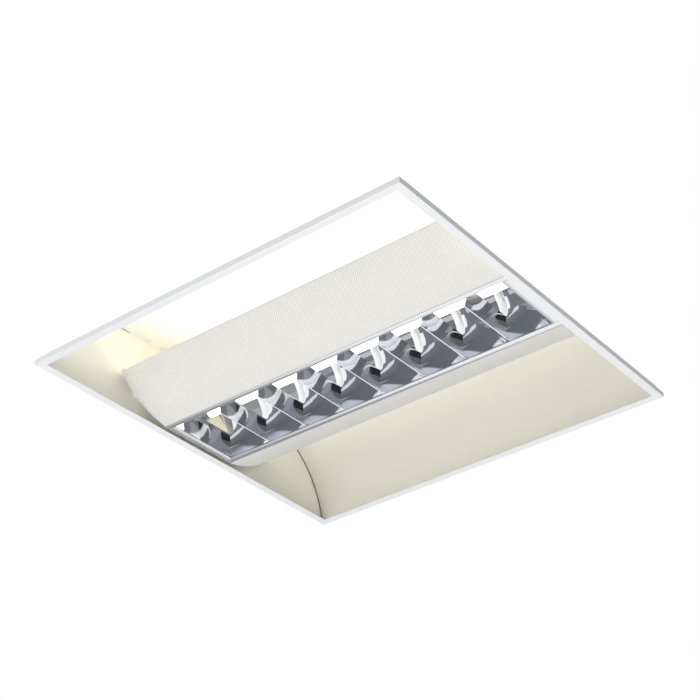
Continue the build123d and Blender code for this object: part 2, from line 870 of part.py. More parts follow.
with BuildPart() as hinge_bushes:
    with BuildSketch(Plane.YZ.offset(bush_inner_face)):
        with Locations((pivot_half, pivot_height)):
            Circle(bush_flange_radius)
    extrude(amount=bush_flange)
    with BuildSketch(Plane.YZ.offset(bush_inner_face)):
        with Locations((pivot_half, pivot_height)):
            Circle(pivot_radius + running_gap + bush_wall)
    extrude(amount=bush_outer_face - bush_inner_face)
    with BuildSketch(Plane.YZ.offset(bush_inner_face)):
        with Locations((pivot_half, pivot_height)):
            Circle(pivot_radius + running_gap)
    extrude(amount=bush_outer_face - bush_inner_face, mode=Mode.SUBTRACT)
    mirror(about=Plane.YZ)
finish(hinge_bushes, "hinge_bushes")

# Latch studs on the front side of the basket, pointing inwards
with BuildPart() as latch_studs:
    with BuildSketch(Plane.YZ.offset(basket_half)):
        with Locations((-pivot_half, pivot_height)):
            Circle(pivot_radius)
    extrude(amount=-stud_length - basket_end_sheet)
    mirror(about=Plane.YZ)
finish(latch_studs, "latch_studs")

# Spring clips that hold the studs: a split ring, open downwards, under a post
clip_bore = pivot_radius + seat_gap
clip_start = basket_inner - moving_gap - clip_width
with BuildPart() as latch_clips:
    with BuildSketch(Plane.YZ.offset(clip_start)):
        with Locations((-pivot_half, pivot_height)):
            Rectangle(
                2 * clip_post_half,
                bracket_height - pivot_height,
                align=(Align.CENTER, Align.MIN),
            )
            Circle(clip_bore + clip_sheet)
            Circle(clip_bore, mode=Mode.SUBTRACT)
            Rectangle(clip_mouth, 2 * clip_bore, align=(Align.CENTER, Align.MAX), mode=Mode.SUBTRACT)
    extrude(amount=clip_width)
    mirror(about=Plane.YZ)
finish(latch_clips, "latch_clips")

# Brackets that carry the clips from the end plates, over the basket ends
with BuildPart() as latch_brackets:
    with BuildSketch(Plane.XZ.offset(pivot_half - bracket_half)):
        with Locations((end_inner, bracket_height)):
            Rectangle(
                end_inner - clip_start,
                bracket_sheet,
                align=(Align.MAX, Align.MIN),
            )
            Rectangle(bracket_sheet, bracket_leg, align=(Align.MAX, Align.MIN))
    extrude(amount=2 * bracket_half)
    mirror(about=Plane.YZ)
finish(latch_brackets, "latch_brackets")

# Louvre sides: lip, flat rim and curved mirror
side_foot = (louvre_mouth_half, basket_floor)
side_crest = (louvre_throat_half, blade_top)
side_centre = arc_centre(side_foot, side_crest, louvre_side_radius)
side_start_angle = angle_from(side_centre, side_foot)
side_sweep = angle_from(side_centre, side_crest) - side_start_angle
with BuildPart() as louvre_side:
    with BuildSketch(Plane.YZ.offset(-basket_inner)):
        arc_band(side_centre, louvre_side_radius, mirror_sheet, side_start_angle, side_sweep)
        with Locations((louvre_half_width, basket_floor)):
            Rectangle(louvre_rim, mirror_sheet, align=(Align.MAX, Align.MIN))
            Rectangle(mirror_sheet, louvre_lip, align=(Align.MAX, Align.MIN))
    extrude(amount=2 * basket_inner)
finish_pair(louvre_side, Plane.XZ, "louvre_side_back", "louvre_side_front")


def throat_section(low, high):
    """Clear section between the two louvre sides, from one height to another."""
    with Locations((0, low)):
        Rectangle(2 * louvre_half_width, high - low, align=(Align.CENTER, Align.MIN))
    for side in (-1, 1):
        with Locations((side * side_centre[0], side_centre[1])):
            Circle(louvre_side_radius - seat_gap, mode=Mode.INTERSECT)


# Louvre ends: flat rim and curved mirror between the sides
end_foot = (louvre_mouth_length, basket_floor)
end_crest = (louvre_mouth_length - (blade_crest - blade_edge) / 2, blade_top)
end_centre = arc_centre(end_foot, end_crest, blade_radius)
end_start_angle = angle_from(end_centre, end_foot)
end_sweep = angle_from(end_centre, end_crest) - end_start_angle
with BuildPart() as louvre_end:
    with BuildSketch(Plane.XZ.offset(-louvre_mouth_half)):
        arc_band(end_centre, blade_radius, mirror_sheet, end_start_angle, end_sweep)
        with Locations(end_foot):
            Rectangle(louvre_end_rim, mirror_sheet, align=(Align.MIN, Align.MIN))
    extrude(amount=2 * louvre_mouth_half)
    with BuildSketch(Plane.YZ.offset(end_crest[0] - blade_crest)):
        throat_section(0, blade_top + blade_crest)
    extrude(amount=louvre_mouth_length, mode=Mode.INTERSECT)
finish_pair(louvre_end, Plane.YZ, "louvre_end_right", "louvre_end_left")

# Cross blades: mirror sheet folded to a hollow wedge, ends shaped to the louvre sides
blade_foot = (blade_edge / 2, blade_bottom)
blade_corner = (blade_crest / 2, blade_top)
flank_centre = arc_centre(blade_corner, blade_foot, blade_radius)


def wedge_section(low, flank_radius):
    """Section between the two hollow flanks of a blade, from a height up to its crest."""
    with Locations((0, low)):
        Rectangle(blade_crest, blade_top - low, align=(Align.CENTER, Align.MIN))
    for side in (-1, 1):
        with Locations((side * flank_centre[0], flank_centre[1])):
            Circle(flank_radius, mode=Mode.SUBTRACT)


with BuildPart() as cross_blade:
    with BuildSketch(Plane.YZ.offset(-blade_crest / 2)):
        throat_section(blade_bottom, blade_top)
    extrude(amount=blade_crest)
    with BuildSketch(Plane.XZ.offset(-louvre_half_width)):
        wedge_section(blade_bottom, blade_radius)
    extrude(amount=2 * louvre_half_width, mode=Mode.INTERSECT)
    with BuildSketch(Plane.XZ.offset(-louvre_half_width)):
        wedge_section(blade_bottom + blade_fold, blade_radius + mirror_sheet)
    extrude(amount=2 * louvre_half_width, mode=Mode.SUBTRACT)
with BuildPart() as cross_blades:
    with GridLocations(blade_pitch, 0, blade_count, 1):
        add(cross_blade.part)
finish(cross_blades, "cross_blades")


def lead_along(points, bends):
    """A round lead along straight runs joined by arcs."""
    with BuildLine() as route:
        FilletPolyline(*points, radius=bends)
    with BuildSketch(Plane(route.line @ 0, z_dir=route.line % 0)) as wire_section:
        Circle(lead_radius)
    sweep(wire_section.sketch, path=route.line)


# Lamp leads: a pair from each holder to the ballast's terminals
centre_run_z = top_z - centre_lead_drop
centre_holder_top = centre_lamp_height + holder_rise
outer_run_z = top_z - outer_lead_drop
outer_holder_top = outer_lamp_height + holder_rise
cross_z = outer_holder_top + outer_lead_rise
terminal_ends = ((1, ballast_end + ballast_terminal), (-1, ballast_start - ballast_terminal))
with BuildPart() as lamp_leads:
    for end_side, terminal_end in terminal_ends:
        for pick in (-1, 1):
            run_y = pick * lead_spread
            turn_x = end_side * (holder_face + centre_lead_inset)
            lead_along(
                [
                    (terminal_end, run_y, centre_run_z),
                    (turn_x, run_y, centre_run_z),
                    (turn_x, run_y, centre_holder_top),
                ],
                [lead_bend],
            )
            turn_x = end_side * (end_inner - outer_lead_inset + pick * lead_step)
            for lamp_side in (-1, 1):
                run_y = lamp_side * (outer_lead_y + pick * lead_spread)
                lamp_y = lamp_side * outer_lamp_half
                lead_along(
                    [
                        (terminal_end, run_y, outer_run_z),
                        (turn_x, run_y, outer_run_z),
                        (turn_x, run_y, cross_z),
                        (turn_x, lamp_y, cross_z),
                        (turn_x, lamp_y, outer_holder_top),
                    ],
                    [lead_bend, lead_bend, lead_end_bend],
                )
finish(lamp_leads, "lamp_leads")

# Supply leads: from the mains terminals to the ballast
supply_z = terminal_floor + supply_rise
terminal_exit = terminal_x + terminal_length / 2
ballast_entry = ballast_start - ballast_terminal
terminal_low_y = terminal_y - (terminal_poles - 1) / 2 * terminal_pole_pitch
with BuildPart() as supply_leads:
    for pole in range(terminal_poles):
        pole_y = terminal_low_y + pole * terminal_pole_pitch
        entry_y = supply_entry_y + pole * supply_entry_pitch
        turn_x = terminal_exit + (pole + 1) * supply_step
        lead_along(
            [
                (terminal_exit, pole_y, supply_z),
                (turn_x, pole_y, supply_z),
                (turn_x, entry_y, supply_z),
                (ballast_entry, entry_y, supply_z),
            ],
            [supply_bend, supply_bend],
        )
finish(supply_leads, "supply_leads")
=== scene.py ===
import json
from math import asin, atan2, ceil, cos, pi, radians, sin, sqrt

import bmesh
import bpy
from mathutils import Matrix, Vector


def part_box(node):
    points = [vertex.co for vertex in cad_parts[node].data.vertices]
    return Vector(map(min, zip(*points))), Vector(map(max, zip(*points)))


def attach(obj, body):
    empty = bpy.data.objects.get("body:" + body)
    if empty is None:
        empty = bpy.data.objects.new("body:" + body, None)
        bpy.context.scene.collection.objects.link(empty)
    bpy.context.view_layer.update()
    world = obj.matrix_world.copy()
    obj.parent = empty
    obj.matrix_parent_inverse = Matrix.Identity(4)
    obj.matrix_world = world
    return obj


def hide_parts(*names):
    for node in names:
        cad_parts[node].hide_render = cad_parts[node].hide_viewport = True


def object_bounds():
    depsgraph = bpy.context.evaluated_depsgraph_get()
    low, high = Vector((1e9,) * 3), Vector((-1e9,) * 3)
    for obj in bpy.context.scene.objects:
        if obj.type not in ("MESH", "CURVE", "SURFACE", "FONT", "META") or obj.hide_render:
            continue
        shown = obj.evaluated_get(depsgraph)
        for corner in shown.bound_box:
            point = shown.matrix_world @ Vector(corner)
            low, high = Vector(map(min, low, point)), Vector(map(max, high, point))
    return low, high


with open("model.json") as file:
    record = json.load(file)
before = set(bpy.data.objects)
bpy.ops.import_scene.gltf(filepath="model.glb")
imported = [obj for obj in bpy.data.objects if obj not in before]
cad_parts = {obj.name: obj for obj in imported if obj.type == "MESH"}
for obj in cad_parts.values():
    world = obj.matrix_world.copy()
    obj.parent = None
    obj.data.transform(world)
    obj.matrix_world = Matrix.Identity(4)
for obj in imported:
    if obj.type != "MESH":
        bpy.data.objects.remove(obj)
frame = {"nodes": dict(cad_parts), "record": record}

# A square ceiling light, switched on, seen from below as it hangs in a white ceiling.
# Sizes are in metres, in the part's own frame: +Z up, +X along the lamps.

cad_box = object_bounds()
nodes = frame["nodes"]
scene = bpy.context.scene

# Camera: where it stands round the object, and how the object sits in the picture
camera_azimuth = radians(38.053)
camera_elevation = radians(-33.074)
camera_roll = radians(-0.73)
camera_distance = 2.16987
camera_slide = (0.00729, -0.04109)
camera_lens = 84.0
camera_sight = 100.0
sensor_width = 36.0

# Room: a pale floor to the camera, and a dim glow to everything else, dimmer to the right
floor_drop = 2.4
floor_half = 12.0
floor_pale = (0.82, 0.82, 0.82)
floor_rough = 0.8
floor_glow_colour = (0.95, 0.96, 1.0)
floor_left = -2.5
floor_right = 5.0
floor_left_glow = 0.36
floor_right_glow = 0.15
floor_card_lift = 0.01
# Cards on the floor that only mirrors see: two corners, and the glow at the left and at the right
floor_cards = {
    "fade_card": ((-3.15, 0.6), (-1.9, 6.5), 0.28, 1.0),
    "back_card": ((-1.9, 0.6), (0.2, 6.5), 1.0, 1.0),
    "near_card": ((-1.55, -0.68), (-0.9, 0.0), 0.6, 0.6),
    "white_card": ((-0.6, -2.6), (0.5, -0.55), 1.2, 1.2),
    "shade_card": ((-1.75, -2.4), (-0.6, -0.68), 0.2, 0.2),
    "low_shade_card": ((-2.3, -3.8), (-0.6, -2.4), 0.22, 0.22),
    "left_card": ((-3.4, -2.4), (-1.75, -1.2), 0.45, 0.45),
    "low_left_card": ((-3.4, -3.8), (-2.3, -2.4), 0.45, 0.45),
    "side_card": ((1.8, -3.2), (3.0, -0.6), 0.38, 0.38),
    "front_card": ((1.1, -4.3), (1.8, -3.2), 0.95, 0.95),
    "black_card": ((3.0, -4.0), (6.0, -1.6), 0.03, 0.03),
}
# White card round the trim, in place of the ceiling
ceiling_half = 0.9
ceiling_gap = 0.0004

# Light of the lamps and of the opal sheets
warm_white = (1.0, 0.94, 0.79)
cool_white = (1.0, 0.97, 0.92)
opal_white = (1.0, 0.97, 0.90)
front_glow = 5.5
back_glow = 2.6
centre_glow = 5.2
opal_glow = 0.42
# Light of the room: the sky, and soft lights with their place, size and power
ambient = 0.5
soft_lights = {
    "under_light": ((0.2, -0.3, -2.0), 3.0, 45.0),
    "front_light": ((-0.9, -2.6, -0.6), 1.6, 26.0),
    "over_light": ((-0.6, 1.0, 2.2), 1.6, 40.0),
}

# Mirror louvre
mirror_sheet = 0.0006
louvre_rim = 0.010
louvre_lip = 0.007
fold_radius = 0.0008
side_radius = 0.080
hood_radius = 0.0576
hood_bulge = 0.048
blade_radius = 0.082
blade_edge = 0.0016
blade_crest = 0.013
blade_count = 7
blade_gap = 0.0001
# Height up the blades' backs of the painted fold shade
fold_shade_depth = 0.007
blank_half = 1.0
arc_steps = 16
fold_steps = 3

# Perforated wings
wing_radius = 0.160
wing_sheet = 0.0008
wing_lip = 0.008
wing_gap = 0.0003
wing_tip_height = 0.052
hole_pitch = 0.00283
hole_radius = 0.00075
hole_margin = 0.002
whole_cell = 0.99

# Curved side reflectors, and the joint lines at their ends: thin dark strips of painted shadow
reflector_radius = 0.150
reflector_lap = 0.020
body_sheet = 0.001
trim_sheet = 0.0012
joint_gap = 0.0001
joint_depth = 0.0005
joint_steps = 32
# Widths of the painted shadow strips, narrower at the front
back_joint_width = 0.0013
front_joint_width = 0.0006

# Shading: edges sharper than this stay crisp
crease_angle = radians(35)
# Picking: points nearer to a line than this lie on it
same_line = 0.00006


def low(node):
    """The lowest corner of a node's box."""
    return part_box(node)[0]


def high(node):
    """The highest corner of a node's box."""
    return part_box(node)[1]


# Materials

cloud_low = 0.3
cloud_high = 0.7
coat_grain = (0.0012, 0.00002)
rolled = (0.1, 1, 1)
plain_white = ((0.80, 0.80, 0.775), (0.83, 0.83, 0.81), 0.04, (0.36, 0.46))
# Painted shade on the back reflector's inner arc: a darker cream, and the size of its clouds
reflector_painted_shade = ((0.685, 0.665, 0.59), (0.715, 0.695, 0.62))
painted_shade_cloud = 0.04


def new_material(name):
    """A material, with its node tree and its shader at hand."""
    material = bpy.data.materials.new(name)
    material.use_nodes = True
    tree = material.node_tree
    return material, tree, tree.nodes["Principled BSDF"]


def object_point(tree, scale=(1, 1, 1)):
    """Object coordinates, scaled along the axes."""
    place = tree.nodes.new("ShaderNodeTexCoord")
    mapping = tree.nodes.new("ShaderNodeMapping")
    mapping.inputs["Scale"].default_value = scale
    tree.links.new(place.outputs["Object"], mapping.inputs["Vector"])
    return mapping.outputs["Vector"]


def noise(tree, point, size, detail=2.0):
    """Cloudy values round one half, with features of about the given size in metres."""
    texture = tree.nodes.new("ShaderNodeTexNoise")
    texture.inputs["Scale"].default_value = 1 / size
    texture.inputs["Detail"].default_value = detail
    tree.links.new(point, texture.inputs["Vector"])
    return texture.outputs["Fac"]


def spread(tree, cloud, lowest, highest):
    """The main part of a cloud's values, stretched to a range."""
    ramp = tree.nodes.new("ShaderNodeMapRange")
    ramp.inputs["From Min"].default_value = cloud_low
    ramp.inputs["From Max"].default_value = cloud_high
    ramp.inputs["To Min"].default_value = lowest
    ramp.inputs["To Max"].default_value = highest
    tree.links.new(cloud, ramp.inputs["Value"])
    return ramp.outputs["Result"]


def tint(tree, value, first, second):
    """A colour between two, by a value."""
    mix = tree.nodes.new("ShaderNodeMix")
    mix.data_type = "RGBA"
    mix.inputs["A"].default_value = (*first, 1)
    mix.inputs["B"].default_value = (*second, 1)
    tree.links.new(value, mix.inputs["Factor"])
    return mix.outputs["Result"]


def relief(tree, shader, height, depth):
    """Bump of a depth in metres."""
    bump = tree.nodes.new("ShaderNodeBump")
    bump.inputs["Distance"].default_value = depth
    tree.links.new(height, bump.inputs["Height"])
    tree.links.new(bump.outputs["Normal"], shader.inputs["Normal"])


def mottled(name, first, second, size, rough, grain=None, metallic=0.0, stretch=(1, 1, 1)):
    """A finish with clouds of two colours, a roughness that varies with them, and any fine grain.

    The grain is a size and a depth.
    """
    material, tree, shader = new_material(name)
    point = object_point(tree, stretch)
    cloud = noise(tree, point, size)
    tree.links.new(tint(tree, cloud, first, second), shader.inputs["Base Color"])
    tree.links.new(spread(tree, cloud, *rough), shader.inputs["Roughness"])
    shader.inputs["Metallic"].default_value = metallic
    if grain:
        grain_size, grain_depth = grain
        relief(tree, shader, noise(tree, point, grain_size, detail=1.0), grain_depth)
    return material


def powder_coat(name, first, second, size, rough):
    """Paint baked on sheet metal."""
    return mottled(name, first, second, size, rough, grain=coat_grain)


def bare_metal(name, first, second, size, rough, **finish):
    """A metal surface without paint."""
    return mottled(name, first, second, size, rough, metallic=1.0, **finish)


white_paint = powder_coat("white_paint", *plain_white)
wing_paint = powder_coat("wing_paint", (0.76, 0.75, 0.71), (0.79, 0.78, 0.74), 0.03, (0.4, 0.5))
# Painted light: the end plates take the white paint made brighter and creamier, for the warm lamp light that
# falls on them
painted_light_end_paint = powder_coat("painted_light_end_paint", (0.88, 0.865, 0.785), (0.91, 0.895, 0.815), 0.04, (0.36, 0.46))
trim_paint = powder_coat("trim_paint", (0.86, 0.86, 0.87), (0.89, 0.89, 0.90), 0.05, (0.32, 0.42))

mirror_metal = bare_metal(
    "mirror_metal", (0.80, 0.82, 0.85), (0.85, 0.87, 0.90), 0.02, (0.03, 0.07), stretch=rolled
)
zinc = bare_metal(
    "zinc", (0.52, 0.53, 0.54), (0.66, 0.67, 0.68), 0.006, (0.28, 0.45), grain=(0.0008, 0.00002)
)
spring_steel = bare_metal("spring_steel", (0.40, 0.41, 0.43), (0.50, 0.51, 0.53), 0.004, (0.2, 0.32))
rivet_metal = bare_metal("rivet_metal", (0.66, 0.66, 0.67), (0.76, 0.76, 0.77), 0.002, (0.3, 0.45))
brass = bare_metal("brass", (0.66, 0.48, 0.20), (0.76, 0.60, 0.28), 0.003, (0.25, 0.4))
cap_metal = bare_metal("cap_metal", (0.62, 0.62, 0.63), (0.72, 0.72, 0.73), 0.004, (0.25, 0.4))

opal = mottled("opal", (0.86, 0.85, 0.81), (0.89, 0.88, 0.84), 0.05, (0.25, 0.35))
holder_plastic = mottled(
    "holder_plastic", (0.80, 0.80, 0.77), (0.85, 0.85, 0.82), 0.01, (0.4, 0.5), grain=(0.0006, 0.00001)
)
board = mottled("board", (0.03, 0.14, 0.05), (0.05, 0.20, 0.08), 0.01, (0.4, 0.6))
rubber = mottled(
    "rubber", (0.02, 0.02, 0.02), (0.035, 0.035, 0.035), 0.004, (0.6, 0.8), grain=(0.0006, 0.00002)
)
insulation = mottled("insulation", (0.80, 0.80, 0.77), (0.85, 0.85, 0.82), 0.004, (0.4, 0.5))

# Backs of the mirror sheets; painted shade deep in the blade folds; a painted highlight on the blades' lower
# edges; and the painted shadow in a joint
plain_aluminium = mottled(
    "plain_aluminium", (0.74, 0.74, 0.75), (0.80, 0.80, 0.81), 0.02, (0.5, 0.6), stretch=rolled
)
painted_fold_shade = mottled("painted_fold_shade", (0.16, 0.16, 0.17), (0.22, 0.22, 0.23), 0.004, (0.5, 0.6))
painted_edge_highlight = mottled("painted_edge_highlight", (0.84, 0.85, 0.86), (0.88, 0.89, 0.90), 0.004, (0.3, 0.4))
joint_shadow = mottled("joint_shadow", (0.10, 0.09, 0.05), (0.13, 0.12, 0.07), 0.01, (0.6, 0.8))

reflector_low, reflector_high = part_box("side_reflector_back")
reflector_centre = (reflector_low.y + reflector_lap, reflector_high.z - body_sheet - reflector_radius)


def with_painted_shade_inside(material, first, second, size):
    """The same paint, with painted shade on the inner face of the back reflector's arc: darker cream clouds
    there.
    """
    tree = material.node_tree
    colour = tree.nodes["Principled BSDF"].inputs["Base Color"]
    reach = tree.nodes.new("ShaderNodeVectorMath")
    reach.operation = "DISTANCE"
    reach.inputs[1].default_value = (0, *reflector_centre)
    tree.links.new(object_point(tree, (0, 1, 1)), reach.inputs[0])
    outside = tree.nodes.new("ShaderNodeMath")
    outside.operation = "GREATER_THAN"
    outside.inputs[1].default_value = reflector_radius + body_sheet / 2
    tree.links.new(reach.outputs["Value"], outside.inputs[0])
    inside_shade = tint(tree, noise(tree, object_point(tree), size), first, second)
    mix = tree.nodes.new("ShaderNodeMix")
    mix.data_type = "RGBA"
    tree.links.new(outside.outputs[0], mix.inputs["Factor"])
    tree.links.new(inside_shade, mix.inputs["A"])
    tree.links.new(colour.links[0].from_socket, mix.inputs["B"])
    tree.links.new(mix.outputs["Result"], colour)
    return material


# Painted shade: the back reflector is darker and creamier on its inner arc than the same white paint
# elsewhere
back_reflector_painted_shade = with_painted_shade_inside(
    powder_coat("back_reflector_painted_shade", *plain_white), *reflector_painted_shade, painted_shade_cloud
)


def lit(material, colour, glow):
    """The same finish, giving off light."""
    shader = material.node_tree.nodes["Principled BSDF"]
    shader.inputs["Emission Color"].default_value = (*colour, 1)
    shader.inputs["Emission Strength"].default_value = glow
    return material


def lit_glass(name, colour, glow):
    """White coated lamp glass, switched on."""
    return lit(mottled(name, (0.86, 0.85, 0.80), (0.90, 0.89, 0.85), 0.03, (0.1, 0.2)), colour, glow)


front_glass = lit_glass("front_glass", warm_white, front_glow)
centre_glass = lit_glass("centre_glass", cool_white, centre_glow)
back_glass = lit_glass("back_glass", warm_white, back_glow)
lit(opal, opal_white, opal_glow)

finishes = {
    "white_paint": white_paint,
    "mirror_aluminium": mirror_metal,
    "zinc_steel": zinc,
    "spring_steel": spring_steel,
    "rivet_aluminium": rivet_metal,
    "brass_screw": brass,
    "opal_plastic": opal,
    "holder_plastic": holder_plastic,
    "board_laminate": board,
    "grommet_rubber": rubber,
    "lamp_glass": front_glass,
    "cap_aluminium": cap_metal,
    "lead_insulation": insulation,
}
slot_of = {part["node"]: part["material_slot"] for part in frame["record"]["subparts"]}
own_finish = {
    "lamp_tube_centre": centre_glass,
    "lamp_tube_back": back_glass,
    "side_reflector_back": back_reflector_painted_shade,
    # End plates in their copy of the white paint with painted lamp light
    "end_plate_left": painted_light_end_paint,
    "end_plate_right": painted_light_end_paint,
    **{f"trim_rail_{side}": trim_paint for side in ("back", "left", "front", "right")},
}
for name, piece in nodes.items():
    piece.data.materials.clear()
    piece.data.materials.append(own_finish.get(name, finishes[slot_of[name]]))


# Pieces modelled here: shared steps

def finished(name, shape):
    """A linked object from a bmesh, with its place in its mesh."""
    mesh = bpy.data.meshes.new(name)
    shape.to_mesh(mesh)
    shape.free()
    piece = bpy.data.objects.new(name, mesh)
    scene.collection.objects.link(piece)
    return piece


def dressed(name, shape, body, slot, materials, *stands_for):
    """A smooth piece with crisp creases, on its body, in its finish, in place of any CAD nodes."""
    for face in shape.faces:
        face.smooth = True
    for edge in shape.edges:
        edge.smooth = edge.calc_face_angle(pi) < crease_angle
    piece = finished(name, shape)
    for material in materials:
        piece.data.materials.append(material)
    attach(piece, body)
    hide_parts(*stands_for)


def verts_of(geometry):
    """The vertices among the pieces of geometry that an operator gives back."""
    return [item for item in geometry if isinstance(item, bmesh.types.BMVert)]


def arc_centre(start, end, radius):
    """Centre of the arc that turns left on its way from start to end."""
    across, rise = end[0] - start[0], end[1] - start[1]
    chord = sqrt(across**2 + rise**2)
    away = sqrt(radius**2 - chord**2 / 4)
    return ((start[0] + end[0]) / 2 - away * rise / chord, (start[1] + end[1]) / 2 + away * across / chord)


def angle_between(centre, start, end):
    """Turn from one point to another, seen from a centre, by less than half a circle."""
    turn = atan2(end[1] - centre[1], end[0] - centre[0]) - atan2(start[1] - centre[1], start[0] - centre[0])
    return (turn + pi) % (2 * pi) - pi


def turned(shape, vert, centre, axis, sweep):
    """Lengthen a chain of edges by an arc, and give its last vertex."""
    arc = bmesh.ops.spin(shape, geom=[vert], cent=centre, axis=axis, angle=sweep, steps=arc_steps)
    return verts_of(arc["geom_last"])[0]


def stepped(shape, vert, step):
    """Lengthen a chain of edges by a straight step, and give its last vertex."""
    grown = bmesh.ops.extrude_vert_indiv(shape, verts=[vert])["verts"]
    bmesh.ops.translate(shape, verts=grown, vec=step)
    return grown[0]


def drawn(shape, run, facing):
    """Draw a chain of edges along a run to a sheet whose normals look to one side."""
    far = verts_of(bmesh.ops.extrude_edge_only(shape, edges=shape.edges[:])["geom"])
    bmesh.ops.translate(shape, verts=far, vec=run)
    turn_towards(shape, facing)


def turn_towards(shape, facing):
    """Make the normals of an open sheet look to one side."""
    bmesh.ops.recalc_face_normals(shape, faces=shape.faces[:])
    mean = sum((face.normal * face.calc_area() for face in shape.faces), Vector())
    if mean.dot(Vector(facing)) < 0:
        bmesh.ops.reverse_faces(shape, faces=shape.faces[:])


def folded(shape, axis, place, height):
    """Round the fold of a sheet that runs along a line at a place and height."""
    spot = Vector((place, height))
    along = [
        edge
        for edge in shape.edges
        if all((Vector((vert.co[axis], vert.co.z)) - spot).length < same_line for vert in edge.verts)
    ]
    bmesh.ops.bevel(
        shape,
        geom=along,
        offset=fold_radius,
        affect="EDGES",
        segments=fold_steps,
        profile=0.5,
        material=-1,
    )


def thickened(shape, sheet):
    """Give a sheet its thickness away from its normals; the new faces take the second material."""
    front = set(shape.faces)
    bmesh.ops.solidify(shape, geom=shape.faces[:], thickness=sheet)
    for face in shape.faces:
        face.material_index = 0 if face in front else 1


def twin(shape, mirror_axis):
    """A mirror image of a finished shape."""
    image = shape.copy()
    scale = [1, 1, 1]
    scale[mirror_axis] = -1
    bmesh.ops.scale(image, vec=scale, verts=image.verts[:])
    bmesh.ops.reverse_faces(image, faces=image.faces[:])
    return image


# Mirror louvre, modelled smooth so that its reflections run clean

side_low, side_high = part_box("louvre_side_back")
louvre_floor = side_low.z
louvre_length = 2 * side_high.x
mouth_half = side_high.y - louvre_rim
blade_bottom = low("cross_blades").z
blade_top = high("cross_blades").z
side_foot = (mouth_half, louvre_floor)
side_crest = (side_low.y, blade_top)
side_centre = arc_centre(side_foot, side_crest, side_radius)
side_turn = angle_between(side_centre, side_foot, side_crest)


def throat_half(height):
    """Half width between the two louvre sides at a height."""
    return side_centre[0] + sqrt(side_radius**2 - (height - side_centre[1])**2)


def fit_to_throat(shape):
    """Bring the two ends of a long blank in to the louvre sides."""
    for vert in shape.verts:
        vert.co.y *= (throat_half(max(vert.co.z, louvre_floor)) - blade_gap) / blank_half


mirror_finish = (mirror_metal, plain_aluminium)


def mirror_piece(name, shape, body, node, *more_materials):
    """A mirror sheet in place of a CAD node."""
    dressed(name, shape, body, "mirror_aluminium", (*mirror_finish, *more_materials), node)


louvre_side = bmesh.new()
side_start = louvre_side.verts.new((side_low.x, *side_foot))
turned(louvre_side, side_start, (0, *side_centre), (1, 0, 0), side_turn)
rim_end = stepped(louvre_side, side_start, (0, louvre_rim, 0))
stepped(louvre_side, rim_end, (0, 0, louvre_lip))
drawn(louvre_side, (louvre_length, 0, 0), (0, -1, -1))
folded(louvre_side, 1, mouth_half, louvre_floor)
folded(louvre_side, 1, side_high.y, louvre_floor)
thickened(louvre_side, mirror_sheet)
mirror_piece("mirror_side_front", twin(louvre_side, 1), "basket", "louvre_side_front")
mirror_piece("mirror_side_back", louvre_side, "basket", "louvre_side_back")

end_low, end_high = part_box("louvre_end_right")
end_crest = (end_low.x, blade_top)
end_foot = (end_low.x + (blade_crest - blade_edge) / 2, louvre_floor)
end_centre = arc_centre(end_foot, end_crest, blade_radius)
end_turn = angle_between(end_centre, end_foot, end_crest)
louvre_end = bmesh.new()
end_start = louvre_end.verts.new((end_foot[0], -blank_half, end_foot[1]))
turned(louvre_end, end_start, (end_centre[0], 0, end_centre[1]), (0, -1, 0), end_turn)
stepped(louvre_end, end_start, (end_high.x - end_foot[0], 0, 0))
drawn(louvre_end, (0, 2 * blank_half, 0), (-1, 0, -1))
fit_to_throat(louvre_end)
folded(louvre_end, 0, *end_foot)
thickened(louvre_end, mirror_sheet)
mirror_piece("mirror_end_left", twin(louvre_end, 0), "basket", "louvre_end_left")
mirror_piece("mirror_end_right", louvre_end, "basket", "louvre_end_right")

# Blades: the backs deep in the fold are painted dark as shade, and the lower edge is painted bright as a
# highlight
blade_corner = (blade_crest / 2, blade_top)
blade_foot = (blade_edge / 2, blade_bottom)
flank_centre = arc_centre(blade_corner, blade_foot, blade_radius)
flank_turn = angle_between(flank_centre, blade_corner, blade_foot)
first_blade = low("cross_blades").x + blade_crest / 2
blade_pitch = -2 * first_blade / (blade_count - 1)
blades = bmesh.new()
corner = blades.verts.new((blade_corner[0], -blank_half, blade_corner[1]))
foot = turned(blades, corner, (flank_centre[0], 0, flank_centre[1]), (0, -1, 0), flank_turn)
far_foot = stepped(blades, foot, (-blade_edge, 0, 0))
turned(blades, far_foot, (-flank_centre[0], 0, flank_centre[1]), (0, -1, 0), flank_turn)
drawn(blades, (0, 2 * blank_half, 0), (0, 0, -1))
fit_to_throat(blades)
thickened(blades, mirror_sheet)
# Painted shade: back faces low in the fold take the dark third material
for face in blades.faces:
    if face.material_index == 1 and face.calc_center_median().z < blade_bottom + fold_shade_depth:
        face.material_index = 2
    # Painted highlight: the downward faces of the lower edge take the bright fourth material
    elif face.material_index == 0 and face.normal.z < -cos(crease_angle):
        face.material_index = 3
bmesh.ops.translate(blades, verts=blades.verts, vec=(first_blade, 0, 0))
one_blade = blades.verts[:] + blades.edges[:] + blades.faces[:]
for place in range(1, blade_count):
    copied = bmesh.ops.duplicate(blades, geom=one_blade)["geom"]
    bmesh.ops.translate(blades, verts=verts_of(copied), vec=(place * blade_pitch, 0, 0))
blades.normal_update()
mirror_piece("mirror_blades", blades, "basket", "cross_blades", painted_fold_shade, painted_edge_highlight)

